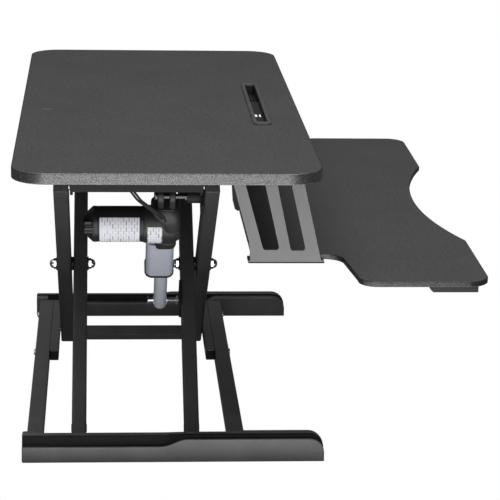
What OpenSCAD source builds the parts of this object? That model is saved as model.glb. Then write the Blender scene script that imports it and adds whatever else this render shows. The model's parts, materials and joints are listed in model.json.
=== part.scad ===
// Electric standing desk converter: a worktop and a keyboard tray on a
// scissor of square tubes, raised by one linear actuator.
// X runs from the user's left to right, Y from front to back, Z up.

/* [Worktop] */
// Length of the worktop along X
board_l = 900; // [860:1:940]
// Depth of the worktop along Y
board_d = 400; // [380:1:420]
// Thickness of the worktop
board_t = 15; // [12:0.5:20]
// Corner radius of the worktop
board_r = 45; // [20:1:60]
// Height of the worktop's upper face in the modelled pose
board_top = 425.5; // [400:0.5:440]
// Length of the opening for a phone or tablet
slot_l = 278; // [200:1:290]
// Width of the opening for a phone or tablet
slot_w = 14.5; // [10:0.5:20]

/* [Keyboard tray] */
// Length of the tray over both wings
tray_l = 873; // [840:1:890]
// Thickness of the tray
tray_t = 10; // [8:0.5:14]
// How far the tray's upper face lies under the worktop's upper face
tray_drop = 146; // [130:1:155]
// How far the tray's front edge stands in front of the worktop's middle
tray_reach = 422; // [400:1:430]

/* [Scissor] */
// Distance between the end pivots of each leg
leg_len = 576; // [570:1:580]
// Width of the leg tube along Y
leg_w = 20; // [18:1:22]
// Depth of the leg tube across its length
leg_h = 38; // [34:1:38]
// Wall of the leg tube
leg_wall = 1.5; // [1.2:0.1:2]
// Height of the lower pivots and rollers
pivot_low = 22; // [21:0.5:24]
// Distance of the upper pivots under the worktop
pivot_drop = 43.5; // [42:0.5:45]

/* [Feet] */
// Length of each foot along Y
foot_l = 410.4; // [400:0.2:416]
// Width of each foot
foot_w = 38; // [36:1:42]
// Height of the foot at its front
foot_h = 37; // [34:1:40]

/* [Actuator] */
// Diameter of the motor
motor_d = 50; // [44:1:52]
// Distance from the rear pin to the motor's axis
motor_reach = 61; // [60:1:66]
// Diameter of the push rod
rod_d = 19; // [16:1:22]

/* [Hidden] */
$fn = 48;

// Running clearance of a pin in its bore, and the cut-through allowance
run = 0.06;
eps = 1;

// The row's origin is under the middle of the outer box: the board reaches
// board_d / 2 behind its own middle and the tray reaches tray_reach before it
y0 = (tray_reach - board_d / 2) / 2;

// Heights of the board and the tray
board_under = board_top - board_t;
tray_top = board_top - tray_drop;
tray_under = tray_top - tray_t;

// Scissor: hinge line at the left, rollers at the right
hinge_x = -276;
pivot_high = board_under - pivot_drop;
leg_angle = asin((pivot_high - pivot_low) / leg_len);
roller_x = hinge_x + leg_len * cos(leg_angle);
mid_x = (hinge_x + roller_x) / 2;
mid_z = (pivot_low + pivot_high) / 2;
leg_tip = 8;
inner_tips = [2, 22];
outer_tips = [24, 8];
// Middle plane of the frame, and the outer faces of both leg pairs from it
frame_y = 37.5;
inner_face = 88;
outer_face = 111.5;
pivot_r = 5;
low_pin_r = 4;

// Channels that the rollers run in
roller_r = 5.7;
axle_r = 4;
channel_wall = 2;
channel_h = 16;
channel_w = 13.5;
channel_gap = 1.5;
base_channel_x = [53, 319];
top_channel_x = [100, 320];
base_channel_y = outer_face + channel_gap;
top_channel_y = inner_face + channel_gap;

// Base rails between the feet
foot_in_x = 319;
rail_y = 126.8;
rail_w = 21.7;
rail_z = [8, 30];
foot_back_y = 192;
pad_h = 1.5;

// Rails under the board
top_rail_y = 89.5;
top_rail_w = 20;
top_rail_z = 390;
top_rail_x = [-298, 330];
lug_t = 4;

// Actuator: rear pin on the outer legs and rod pin on the inner legs,
// measured along the legs from the upper and lower hinges
rear_pin_s = 35;
rod_pin_s = 221;
act_y = 0;
rear_pin = [hinge_x + rear_pin_s * cos(leg_angle), pivot_high - rear_pin_s * sin(leg_angle)];
rod_pin_at = [hinge_x + rod_pin_s * cos(leg_angle), pivot_low + rod_pin_s * sin(leg_angle)];
act_dx = rod_pin_at[0] - rear_pin[0];
act_dz = rear_pin[1] - rod_pin_at[1];
act_len = sqrt(act_dx * act_dx + act_dz * act_dz);
act_angle = atan2(act_dz, act_dx);
ear_y = -4;
act_pin_r = 4;
rod_start = 124;
rod_tip = 9.5;
shroud_end = 159;
shroud_mid = 3;
motor_y = [27, 95];

// Tray brackets
bracket_x = 305;
bracket_t = 3;

c_board = "#4a4a4a";
c_frame = "#2b2c2e";
c_black = "#161617";
c_steel = "#c4c6ca";
c_bracket = "#8d8e8f";
c_shroud = "#9a9ca8";
c_rubber = "#101010";
c_button = "#d8d8d8";
c_brass = "#b59a5a";

// ---------- helpers ----------

// Moves children from the board's middle to the row's origin
module framed() {
    translate([0, y0, 0]) children();
}

// Children on both sides of the frame's middle plane, rear one first
module on_side(side) {
    translate([0, frame_y, 0]) mirrored_if_front(side) children();
}

module mirrored_if_front(side) {
    if (side > 0) {
        children();
    } else {
        mirror([0, 1, 0]) children();
    }
}

// A rectangle with exact round corners, centred
module rounded(w, h, r) {
    square([w - 2 * r, h], center = true);
    square([w, h - 2 * r], center = true);
    for (sx = [-1, 1], sy = [-1, 1]) {
        translate([sx * (w / 2 - r), sy * (h / 2 - r)]) circle(r);
    }
}

// A cylinder along +Y from y = a to y = b
module bar_y(r, a, b) {
    translate([0, b, 0]) rotate([90, 0, 0]) cylinder(h = b - a, r = r);
}

// A box given by its corner ranges
module block(x, y, z) {
    translate([x[0], y[0], z[0]]) cube([x[1] - x[0], y[1] - y[0], z[1] - z[0]]);
}

// Local leg frame at the lower hinge: X runs up along the inner leg
module inner_place() {
    translate([hinge_x, 0, pivot_low]) rotate([0, -leg_angle, 0]) children();
}

// Local leg frame at the upper hinge: X runs down along the outer leg
module outer_place() {
    translate([hinge_x, 0, pivot_high]) rotate([0, leg_angle, 0]) children();
}

// Leg tube from y = a to y = a + leg_w, with its three pivot bores; tips are
// how far its lower and upper edges reach past the first pivot
module leg_tube(a, end_r, far_r, tips) {
    h = leg_h / 2;
    far = leg_len + leg_tip;
    difference() {
        translate([0, a + leg_w, 0]) rotate([90, 0, 0]) linear_extrude(leg_w)
            polygon([[-tips[0], -h], [far, -h], [far, h], [-tips[1], h]]);
        block([-max(tips) - eps, far + eps],
            [a + leg_wall, a + leg_w - leg_wall],
            [leg_wall - leg_h / 2, leg_h / 2 - leg_wall]);
        bar_y(end_r, a - eps, a + leg_w + eps);
        translate([leg_len / 2, 0, 0]) bar_y(pivot_r + run, a - eps, a + leg_w + eps);
        translate([leg_len, 0, 0]) bar_y(far_r, a - eps, a + leg_w + eps);
    }
}

// C-shaped channel along X, open towards -Y, with its web on the +Y side
module channel(x, web_top) {
    h = channel_h / 2;
    block(x, [0, channel_w], [-h, channel_wall - h]);
    block(x, [0, channel_w], [h - channel_wall, h]);
    block(x, [channel_w - channel_wall, channel_w], [-h, web_top]);
}

// Roller with its bore, from y = 1 inside the channel to its web
module roller() {
    w = channel_w - channel_wall - 2;
    difference() {
        bar_y(roller_r, 1, 1 + w);
        bar_y(axle_r + run, 0, 2 + w);
    }
}

// ---------- base ----------

// Side outline of a foot: y from the back (0) to the front, and its height
module foot_outline(back_h, front_h, rise_a, rise_b) {
    nose = 20;
    polygon(concat(
        [[0, pad_h], [0, back_h], [rise_a, back_h], [rise_b, front_h]],
        [for (a = [90:-10:0]) [foot_l - nose + nose * cos(a), front_h - nose + nose * sin(a)]],
        [[foot_l, pad_h]]));
}

// A slice of the foot between two distances from its outer face
module foot_slice(x, back_h, front_h, rise_a, rise_b) {
    translate([x[0], 0, 0]) rotate([90, 0, 90]) linear_extrude(x[1] - x[0])
        foot_outline(back_h, front_h, rise_a, rise_b);
}

// A foot from its outer face (x = 0) inward, with its back at y = 0
module foot() {
    wall = 2.5;
    cap = 26;
    side = 12;
    difference() {
        union() {
            foot_slice([0, side], 23.5, foot_h - 3, 190, 222);
            foot_slice([side, foot_w - side], 36, foot_h, 190, 222);
            foot_slice([foot_w - side, foot_w], 24, foot_h - 3, 272, 296);
            block([foot_w - side, foot_w], [0, 20], [pad_h, foot_h - 3]);
        }
        block([wall, foot_w - wall], [cap, foot_l - cap], [0, 23.5 - wall]);
        block([side + wall, foot_w - side - wall], [232, foot_l - cap], [0, foot_h - wall]);
    }
}

// Puts a foot on the user's left (-1) or right (1)
module foot_at(side) {
    x = foot_in_x + foot_w;
    framed() translate([side * x, foot_back_y, 0]) {
        if (side < 0) {
            mirror([0, 1, 0]) foot();
        } else {
            rotate([0, 0, 180]) foot();
        }
    }
}

module foot_left() {
    color(c_frame) foot_at(-1);
}

module foot_right() {
    color(c_frame) foot_at(1);
}

module base_rail(side) {
    wall = 1.5;
    color(c_frame) framed() on_side(side) difference() {
        block([-foot_in_x, foot_in_x], [rail_y, rail_y + rail_w], rail_z);
        block([-foot_in_x - eps, foot_in_x + eps], [rail_y + wall, rail_y + rail_w - wall],
            [rail_z[0] + wall, rail_z[1] - wall]);
    }
}

module base_rail_rear() {
    base_rail(1);
}

module base_rail_front() {
    base_rail(-1);
}

module base_channel(side) {
    color(c_frame) framed() on_side(side) translate([0, base_channel_y, pivot_low])
        channel(base_channel_x, channel_h / 2);
}

module base_channel_rear() {
    base_channel(1);
}

module base_channel_front() {
    base_channel(-1);
}

// Plastic plugs that stop the rollers at the left ends of the base channels
module channel_plugs() {
    h = channel_h / 2 - channel_wall;
    x = base_channel_x[0];
    color(c_black) framed() for (side = [1, -1]) on_side(side)
        translate([0, base_channel_y, pivot_low]) {
            block([x, x + 22], [0, channel_w - channel_wall], [-h, h]);
            block([x - 5, x], [0, channel_w], [-channel_h / 2, channel_h / 2]);
        }
}

module foot_pads() {
    pad_r = 11;
    inset = 13;
    x = foot_in_x + foot_w / 2;
    color(c_rubber) framed() for (sx = [-1, 1], y = [inset, foot_l - inset])
        translate([sx * x, foot_back_y - y, 0]) cylinder(h = pad_h, r = pad_r);
}

// Hexagon bolts that tie the base channels to the rails
module rail_bolts() {
    face = rail_y + rail_w;
    color(c_steel) framed() for (side = [1, -1], x = [75, 270]) on_side(side)
        translate([x, 0, pivot_low - 3]) bar_y(4.5, face, face + 3);
}

// Tongues on the left foot that reach into the inner legs' open lower ends
module base_pivot_brackets() {
    back = -foot_in_x;
    half = 8;
    end_r = 6.5;
    low = 8;
    high = 16;
    color(c_frame) framed() for (side = [1, -1]) on_side(side)
        translate([0, inner_face - leg_w / 2, 0]) difference() {
            union() {
                block([back, back + 4], [-half - 5, half + 5], [6, 24]);
                translate([0, half, 0]) rotate([90, 0, 0]) linear_extrude(2 * half)
                    polygon([[back, low], [back + 21, low], [hinge_x, pivot_low - end_r],
                        [hinge_x, pivot_low + end_r], [hinge_x - 5, pivot_low + end_r - 1],
                        [back + 19, high], [back, high]]);
                translate([hinge_x, 0, pivot_low]) bar_y(end_r, -half, half);
            }
            translate([hinge_x, 0, pivot_low]) bar_y(low_pin_r, -half - eps, half + eps);
        }
}

// Pins through the legs and the tongues, with thin flat heads
module base_pivot_pins() {
    half = leg_w / 2;
    color(c_steel) framed() for (side = [1, -1]) on_side(side)
        translate([hinge_x, inner_face - half, pivot_low]) {
            bar_y(low_pin_r, -half - 0.8, half + 0.8);
            bar_y(low_pin_r + 1.6, -half - 0.8, -half - 0.1);
            bar_y(low_pin_r + 1.6, half + 0.1, half + 0.8);
        }
}

// ---------- inner legs ----------

module inner_leg_rear() {
    color(c_frame) framed() on_side(1) inner_place()
        leg_tube(inner_face - leg_w, low_pin_r + run, axle_r, inner_tips);
}

module inner_leg_front() {
    color(c_frame) framed() on_side(-1) inner_place() difference() {
        leg_tube(inner_face - leg_w, low_pin_r + run, axle_r, inner_tips);
        translate([rod_pin_s, 0, 0])
            bar_y(act_pin_r, inner_face - leg_w - eps, inner_face - leg_w + 4);
    }
}

// Square bar between the inner legs, close to their rollers
module inner_crossbar() {
    half = inner_face - leg_w;
    s = leg_len - 44;
    color(c_frame) framed() translate([0, frame_y, 0]) inner_place() difference() {
        block([s, s + 20], [-half, half], [-10, 10]);
        block([s + 1.5, s + 18.5], [-half - eps, half + eps], [-8.5, 8.5]);
    }
}

// Bolts through both leg pairs at the scissor's middle
module mid_pivot_bolts() {
    a = inner_face - leg_w - 8;
    color(c_steel) framed() for (side = [1, -1]) on_side(side)
        translate([mid_x, 0, mid_z]) bar_y(pivot_r, a, outer_face + 8);
}

// Domed nuts on both ends of the middle bolts
module dome_nut() {
    difference() {
        union() {
            rotate([-90, 0, 0]) cylinder(h = 5, r = 8, $fn = 6);
            translate([0, 5, 0]) rotate([-90, 0, 0]) cylinder(h = 3, r = 6.6);
            translate([0, 8, 0]) rotate([-90, 0, 0]) cylinder(h = 1.5, r = 5);
        }
        bar_y(pivot_r, -eps, 6);
    }
}

module mid_pivot_nuts() {
    color(c_steel) framed() for (side = [1, -1]) on_side(side)
        translate([mid_x, 0, mid_z]) {
            translate([0, outer_face + 2, 0]) dome_nut();
            translate([0, inner_face - leg_w - 2, 0]) mirror([0, 1, 0]) dome_nut();
        }
}

// Black washers on both sides of the legs and a spacer between the pairs
module pivot_washers() {
    gap = [inner_face, outer_face - leg_w];
    a = inner_face - leg_w;
    ring_y = [[a - 2, a], gap, [outer_face, outer_face + 2]];
    color(c_black) framed() for (side = [1, -1]) on_side(side)
        translate([mid_x, 0, mid_z]) for (y = ring_y) difference() {
            bar_y(10, y[0] + 0.1, y[1] - 0.1);
            bar_y(pivot_r + run, y[0] - eps, y[1] + eps);
        }
}

// Plate on the front inner leg that carries the rod's pin
module rod_bracket() {
    a = inner_face - leg_w;
    color(c_frame) framed() on_side(-1) inner_place() translate([rod_pin_s, 0, 0])
        block([-20, 20], [a - 3, a], [-leg_h / 2 + 3, leg_h / 2 + 4]);
}

module top_roller_axles() {
    color(c_steel) framed() for (side = [1, -1]) on_side(side)
        translate([roller_x, 0, pivot_high])
            bar_y(axle_r, inner_face - leg_w, inner_face + channel_gap + channel_w - 3);
}

// ---------- outer legs ----------

module outer_leg_rear() {
    color(c_frame) framed() on_side(1) outer_place()
        leg_tube(outer_face - leg_w, pivot_r + run, axle_r, outer_tips);
}

module outer_leg_front() {
    color(c_frame) framed() on_side(-1) outer_place() difference() {
        leg_tube(outer_face - leg_w, pivot_r + run, axle_r, outer_tips);
        translate([rear_pin_s, 0, 0])
            bar_y(act_pin_r, outer_face - leg_w - eps, outer_face - leg_w + 4);
    }
}

// Tube between the outer legs, flush with their undersides at the rollers
module lower_crossbar() {
    half = outer_face - leg_w;
    x = [leg_len - 25, leg_len];
    z = [-leg_h / 2, 16 - leg_h / 2];
    color(c_frame) framed() translate([0, frame_y, 0]) outer_place() difference() {
        block(x, [-half, half], z);
        block([x[0] + 1.5, x[1] - 1.5], [-half - eps, half + eps], [z[0] + 1.5, z[1] - 1.5]);
    }
}

// Gusset plate on the front outer leg that carries the actuator's rear pin
module actuator_bracket() {
    a = outer_face - leg_w;
    color(c_frame) framed() on_side(-1) outer_place() difference() {
        union() {
            block([15, 52], [a - 4, a], [-22, 8]);
            translate([rear_pin_s, 0, 0]) bar_y(9, a - 22, a - 4);
        }
        translate([rear_pin_s, 0, 0]) bar_y(act_pin_r, a - 23, a + eps);
    }
}

// Shaft through the clevis ears, held by the gusset plate
module actuator_rear_pin() {
    front = frame_y - outer_face + leg_w;
    color(c_steel) framed() translate([rear_pin[0], 0, rear_pin[1]]) {
        bar_y(act_pin_r, front - 4, ear_y + 13);
        bar_y(6, ear_y + 12.1, ear_y + 17);
        bar_y(6.5, front + 22.1, front + 25);
    }
}

module base_roller_axles() {
    a = outer_face - leg_w;
    color(c_steel) framed() for (side = [1, -1]) on_side(side)
        translate([roller_x, 0, pivot_low])
            bar_y(axle_r, a, outer_face + channel_gap + channel_w - 3);
}

// ---------- rollers ----------

module base_roller(side) {
    color(c_black) framed() on_side(side)
        translate([roller_x, base_channel_y, pivot_low]) roller();
}

module top_roller(side) {
    color(c_black) framed() on_side(side)
        translate([roller_x, top_channel_y, pivot_high]) roller();
}

module base_roller_rear() {
    base_roller(1);
}

module base_roller_front() {
    base_roller(-1);
}

module top_roller_rear() {
    top_roller(1);
}

module top_roller_front() {
    top_roller(-1);
}

// ---------- top ----------

// Device slot on the worktop, nearer to the user
device_slot_y = -140.8;
plug_at = [-47, 163];
plug_r = 6.5;
rebate = 1;

module worktop() {
    color(c_board) framed() difference() {
        translate([0, 0, board_under]) linear_extrude(board_t) rounded(board_l, board_d, board_r);
        translate([0, device_slot_y, board_under - eps]) linear_extrude(board_t + 2 * eps)
            rounded(slot_l + 6, slot_w + 6, 6);
        translate([0, device_slot_y, board_top - rebate]) linear_extrude(rebate + eps)
            rounded(slot_l + 22.4, slot_w + 11.4, 7.2);
        translate([plug_at[0], plug_at[1], board_under - eps])
            cylinder(h = board_t + 2 * eps, r = plug_r);
        translate([plug_at[0], plug_at[1], board_top - rebate])
            cylinder(h = rebate + eps, r = plug_r + 1.7);
    }
}

// Raised frame and trough for a phone or tablet: shallow on the left, with
// two windows through its floor, and deep on the right, with two ribs
module device_slot_frame() {
    lip = 11;
    lip_h = 3;
    shallow = 6;
    floor_t = 2;
    step_x = 45;
    h = slot_l / 2;
    color(c_black) framed() translate([0, device_slot_y, 0]) {
        difference() {
            union() {
                translate([0, 0, board_top - rebate]) linear_extrude(lip_h + rebate)
                    rounded(slot_l + 22, slot_w + lip, 7);
                translate([0, 0, board_under]) linear_extrude(board_t)
                    rounded(slot_l + 5.6, slot_w + 5.6, 5.8);
            }
            intersection() {
                translate([0, 0, board_top - shallow]) linear_extrude(shallow + lip_h + eps)
                    rounded(slot_l, slot_w, 4);
                block([-h, step_x], [-slot_w, slot_w], [board_under, board_top + 2 * lip_h]);
            }
            intersection() {
                translate([0, 0, board_under + floor_t]) linear_extrude(board_t + lip_h)
                    rounded(slot_l, slot_w, 4);
                block([step_x - 0.1, h], [-slot_w, slot_w], [board_under, board_top + 2 * lip_h]);
            }
            block([-h + 12, step_x - 12], [-slot_w / 2 + 1, slot_w / 2 - 1],
                [board_under - eps, board_top - shallow - floor_t]);
            for (y = [-6.6, 0.6])
                block([-64, -40], [y, y + 5], [board_under, board_top]);
        }
        for (y = [-3, 2])
            block([58, 84], [y, y + 1], [board_under + floor_t, board_top - shallow]);
    }
}

module hole_plug() {
    color(c_black) framed() translate([plug_at[0], plug_at[1], board_under + 3]) {
        cylinder(h = board_t - 3, r = plug_r - 0.1);
        translate([0, 0, board_t - 3 - rebate]) cylinder(h = rebate + 0.5, r = plug_r + 1.5);
    }
}

module top_rails() {
    wall = 1.5;
    z = [top_rail_z, board_under];
    y = [top_rail_y, top_rail_y + top_rail_w];
    color(c_frame) framed() for (side = [1, -1]) on_side(side) difference() {
        block(top_rail_x, y, z);
        block([top_rail_x[0] - eps, top_rail_x[1] + eps], [y[0] + wall, y[1] - wall],
            [z[0] + wall, z[1] - wall]);
    }
}

module top_channel(side) {
    color(c_frame) framed() on_side(side) translate([0, top_channel_y, pivot_high])
        channel(top_channel_x, top_rail_z - pivot_high);
}

module top_channel_rear() {
    top_channel(1);
}

module top_channel_front() {
    top_channel(-1);
}

// Folded cross member at the left with two lugs for the outer legs' hinges
module top_crossmember_left() {
    t = 2.5;
    x = -298;
    bottom = 364;
    r = 12;
    half = top_rail_y;
    color(c_frame) framed() translate([0, frame_y, 0]) difference() {
        union() {
            block([x, x + t], [-half, half], [bottom, board_under]);
            block([x, x + 30], [-half, half], [board_under - t, board_under]);
            block([x, x + 8], [-half + lug_t, half - lug_t], [bottom, bottom + t]);
            for (y = [-half, half - lug_t]) {
                block([x, hinge_x + r], [y, y + lug_t], [pivot_high, board_under]);
                translate([hinge_x, 0, pivot_high]) bar_y(r, y, y + lug_t);
            }
        }
        translate([hinge_x, 0, pivot_high]) bar_y(pivot_r, -half - eps, half + eps);
    }
}

// Cross member at the right, between the rails
module top_crossmember_right() {
    t = 2.5;
    x = [304, 328];
    color(c_frame) framed() translate([0, frame_y, 0]) {
        block([x[0], x[0] + t], [-top_rail_y, top_rail_y], [top_rail_z, board_under]);
        block(x, [-top_rail_y, top_rail_y], [board_under - t, board_under]);
    }
}

module top_pivot_bolts() {
    a = top_rail_y - lug_t;
    color(c_steel) framed() for (side = [1, -1]) on_side(side)
        translate([hinge_x, 0, pivot_high]) {
            bar_y(pivot_r, a, outer_face - 0.5);
            bar_y(8, a - 6, a);
        }
}

// Edge of a tray bracket as [y, z] points, front edge first
module bracket_outline() {
    top = board_under - 2.5;
    low = tray_under + 2.5;
    polygon([[-212, low], [-180, top], [-83, top], [-113.5, 299], [-115.4, 280], [-115.4, low]]);
}

// Slanted opening in a tray bracket: [y, z, width] at its bottom and at its top
module bracket_slot(low, high) {
    r = 4;
    hull() for (p = [low, high], s = [-1, 1])
        translate([p[0] + s * (p[2] / 2 - r), p[1]]) circle(r, $fn = 32);
}

// A tray bracket with x = 0 at its outer face and its flanges inward
module bracket() {
    top = board_under;
    low = tray_under;
    t = 2.5;
    flange = 26;
    rotate([90, 0, 90]) linear_extrude(bracket_t) difference() {
        bracket_outline();
        bracket_slot([-143.2, 291, 22], [-115.6, 398, 27]);
        bracket_slot([-179.8, 290, 20], [-155.4, 398, 18.5]);
    }
    block([0, flange], [-178, -81], [top - t, top]);
    block([0, flange], [-216, -113], [low, low + t]);
    block([bracket_t, 9], [-117.4, -115.4], [low + t, 280]);
}

module tray_bracket_left() {
    color(c_bracket) framed() translate([-bracket_x - bracket_t, 0, 0]) bracket();
}

module tray_bracket_right() {
    color(c_bracket) framed() translate([bracket_x + bracket_t, 0, 0]) mirror([1, 0, 0]) bracket();
}

// Half outline of the tray, from the middle of its back edge to its front
neck_x = 301;
neck_back_y = -118;
wing_y = -212;
wing_back_y = -250;
belly_x = 228;
belly_y = 41;
corner_back = 24;
corner_front = 30;
belly_r = (belly_x * belly_x + belly_y * belly_y) / (2 * belly_y);
belly_c = -tray_reach + belly_y - belly_r;

// Points on an arc about [cx, cy] from angle a to angle b
function arc(cx, cy, r, a, b, n = 8) =
    [for (i = [0:n]) let (t = a + (b - a) * i / n) [cx + r * cos(t), cy + r * sin(t)]];

function half_tray() = concat(
    [[neck_x, neck_back_y], [neck_x, wing_y]],
    arc(neck_x + 26, wing_y - 3, 26, 180, 255),
    arc(tray_l / 2 - corner_back, wing_back_y - corner_back, corner_back, 97, 0),
    arc(tray_l / 2 - corner_front, -tray_reach + corner_front, corner_front, 0, -90),
    [for (i = [0:24]) let (x = belly_x * (1 - i / 24))
        [x, belly_c + sqrt(belly_r * belly_r - x * x)]]);

module keyboard_tray() {
    half = half_tray();
    n = len(half);
    other = [for (i = [n - 2:-1:0]) [-half[i][0], half[i][1]]];
    color(c_board) framed() translate([0, 0, tray_under + 2.5]) linear_extrude(tray_t - 2.5)
        polygon(concat(half, other));
}

module tray_screws() {
    color(c_steel) framed() for (sx = [-1, 1], y = [-206, -196])
        translate([sx * (bracket_x - 12), y, tray_under - 1.5]) {
            cylinder(h = 1.5, r = 3.5);
        }
}

module worktop_screws() {
    rail_mid = top_rail_y + 6;
    color(c_steel) framed() {
        for (sx = [-1, 1], y = [-160, -100])
            translate([sx * (bracket_x - 16), y, board_under - 4]) cylinder(h = 1.5, r = 4);
        for (side = [1, -1], x = [-240, 0, 240]) on_side(side)
            translate([x, rail_mid, top_rail_z - 2]) cylinder(h = 2, r = 4);
    }
}

// Electronics under the board, with the inlet on its back face
box_x = [-60, 90];
box_y = [-20, 60];
box_h = 30;
inlet_x = 60;

module control_box() {
    wall = 2;
    top = board_under;
    color(c_black) framed() difference() {
        translate([(box_x[0] + box_x[1]) / 2, (box_y[0] + box_y[1]) / 2, top - box_h])
            linear_extrude(box_h) rounded(box_x[1] - box_x[0], box_y[1] - box_y[0], 5);
        block([box_x[0] + wall, box_x[1] - wall], [box_y[0] + wall, box_y[1] - wall],
            [top - box_h + wall, top + eps]);
        block([inlet_x - 11, inlet_x + 11], [box_y[1] - wall - eps, box_y[1] + eps],
            [top - 22, top - 8]);
    }
}

// Two-pin appliance inlet, open to the back
module power_inlet() {
    z = board_under - 15;
    color(c_rubber) framed() translate([inlet_x, 0, z]) difference() {
        block([-10.8, 10.8], [box_y[1] - 16, box_y[1] + 1], [-6.8, 6.8]);
        translate([0, box_y[1] + 2, 0]) rotate([90, 0, 0]) linear_extrude(14) rounded(17, 8, 3.9);
    }
}

// Hand control under the tray's left wing, with its buttons facing the user
panel_x = [-421, -361];
panel_y = [-408, -344.5];
panel_z = [tray_under - 9, tray_under + 2.5];
button_x = [-407, -385];
button_z = tray_under - 3.3;
button_r = 2.8;
button_proud = 1.6;

// A shell with a sloping back end under the tray
module control_panel() {
    wall = 1.8;
    color(c_black) framed() difference() {
        translate([panel_x[0], 0, 0]) rotate([90, 0, 90]) linear_extrude(panel_x[1] - panel_x[0])
            polygon([[panel_y[0], panel_z[0]], [panel_y[1] - 4, panel_z[0]],
                [panel_y[1], panel_z[0] + 4], [panel_y[1], panel_z[1]], [panel_y[0], panel_z[1]]]);
        block([panel_x[0] + wall, panel_x[1] - wall], [panel_y[0] + wall, panel_y[1] - 6],
            [panel_z[0] + wall, panel_z[1] - wall]);
        for (x = button_x) translate([x, 0, button_z])
            bar_y(button_r + 0.3, panel_y[0] - eps, panel_y[0] + wall + eps);
    }
}

// A round button on the panel's front face, pressed along +Y
module panel_button(x) {
    front = panel_y[0] - button_proud;
    color(c_button) framed() translate([x, 0, button_z]) {
        bar_y(button_r, front, front + 5);
        bar_y(button_r + 0.8, front + 4.8, front + 6);
    }
}

module button_up() {
    panel_button(button_x[0]);
}

module button_down() {
    panel_button(button_x[1]);
}

// ---------- actuator ----------

// Actuator frame: origin on the rear pin, X along the rod, Y as the row's
module act_place() {
    translate([rear_pin[0], act_y, rear_pin[1]]) rotate([0, act_angle, 0]) children();
}

// The motor's axis in the actuator frame, with y from the row's
module motor_place() {
    act_place() translate([motor_reach, -act_y, 0]) children();
}

module motor_housing() {
    wall = 1.5;
    color(c_black) framed() motor_place() difference() {
        bar_y(motor_d / 2, motor_y[0], motor_y[1]);
        bar_y(motor_d / 2 - wall, motor_y[0] - eps, motor_y[1] + eps);
    }
}

// Cone that closes the motor at the back
module motor_end_cap() {
    nose = 14.5;
    tip_r = 12.2;
    wall = 1.5;
    color(c_black) framed() motor_place() translate([0, motor_y[1], 0]) rotate([-90, 0, 0])
        difference() {
            cylinder(h = nose, r1 = motor_d / 2, r2 = tip_r);
            translate([0, 0, -0.01])
                cylinder(h = nose - wall, r1 = motor_d / 2 - 2, r2 = tip_r - 2);
        }
}

gear_y = [-24, 27];
gear_r = 27;

// Gearbox shell across the motor's axis, with the bore for the shroud
module gearbox_housing() {
    wall = 2;
    color(c_black) framed() motor_place() difference() {
        union() {
            bar_y(gear_r, gear_y[0], gear_y[1]);
            block([-46, 0], [-22, 14], [-18, 18]);
        }
        bar_y(gear_r - wall, gear_y[0] + wall, gear_y[1] + eps);
        translate([-44, act_y, 0]) rotate([0, 90, 0]) cylinder(h = 90, r = 15);
    }
}

// Two ears on the gearbox that turn on the rear pin
module rear_clevis() {
    ear = 8;
    gap = 4;
    r = 11;
    foot_x = motor_reach - 46.1;
    color(c_black) framed() act_place() translate([0, ear_y - act_y, 0]) difference() {
        union() {
            for (y = [-gap - ear, gap]) {
                bar_y(r, y, y + ear);
                block([0, foot_x], [y, y + ear], [-r, r]);
            }
            block([foot_x - 3, foot_x], [-gap - ear, gap + ear], [-r, r]);
            block([-6, foot_x], [-gap - ear, gap + ear], [5.5, r]);
        }
        bar_y(act_pin_r + run, -gap - ear - eps, gap + ear + eps);
    }
}

// Rounded box around the rod's tube, closed at the gearbox
module actuator_shroud() {
    wall = 2;
    start = motor_reach + gear_r + 0.2;
    color(c_shroud) framed() act_place() translate([start, 0, 0]) rotate([0, 90, 0])
        difference() {
            translate([0, shroud_mid, 0]) linear_extrude(shroud_end - start) rounded(36, 39, 8);
            translate([0, shroud_mid, wall]) linear_extrude(shroud_end - start)
                rounded(32, 35, 6);
            translate([0, 0, -eps]) cylinder(h = 10, r = 12);
        }
}

// Dark rim and end plate with the rod's guide bore
module shroud_rim() {
    color(c_black) framed() act_place() translate([shroud_end, 0, 0]) rotate([0, 90, 0])
        difference() {
            translate([0, shroud_mid, 0]) linear_extrude(4) rounded(38, 41.5, 9);
            translate([0, 0, -eps]) cylinder(h = 8, r = rod_d / 2 + 0.3);
        }
}

// Two-wire lead from the gearbox up to a clip under the board's cross member
cable_d = 3.2;
cable_sides = 8;
cable_route = [[-262, 49, 368], [-262, 44, 361], [-261, 37.5, 352], [-259, 31, 343.5],
    [-257.5, 22, 336], [-257, 8.6, 326], [-252, 1, 318], [-246, -4, 311.8], [-243, -6, 309.5]];

// Ring of points around a route's point, square to the route
function ring(p, d) =
    let (t = d / norm(d), u = cross(t, [0, 0, 1]) / norm(cross(t, [0, 0, 1])), v = cross(t, u))
    [for (k = [0:cable_sides - 1]) let (a = 360 * k / cable_sides)
        p + cable_d / 2 * (cos(a) * u + sin(a) * v)];

module swept_cable(route) {
    n = len(route);
    m = cable_sides;
    rings = [for (i = [0:n - 1])
        ring(route[i], route[min(i + 1, n - 1)] - route[max(i - 1, 0)])];
    points = [for (r = rings, p = r) p];
    sides = [for (i = [0:n - 2], k = [0:m - 1])
        [i * m + k, i * m + (k + 1) % m, (i + 1) * m + (k + 1) % m, (i + 1) * m + k]];
    ends = [[for (k = [m - 1:-1:0]) k], [for (k = [0:m - 1]) (n - 1) * m + k]];
    polyhedron(points, concat(sides, ends));
}

module motor_cable() {
    color(c_rubber) framed() for (shift = [0, 4.5])
        translate([0, shift, 0]) swept_cable(cable_route);
}

// ---------- inside the actuator ----------

// Motor rotor with its worm
module motor_armature() {
    color(c_steel) framed() motor_place() {
        bar_y(17, motor_y[0] + 8, motor_y[1] - 8);
        bar_y(4, gear_y[1] - 20, motor_y[0] + 8);
    }
}

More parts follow.
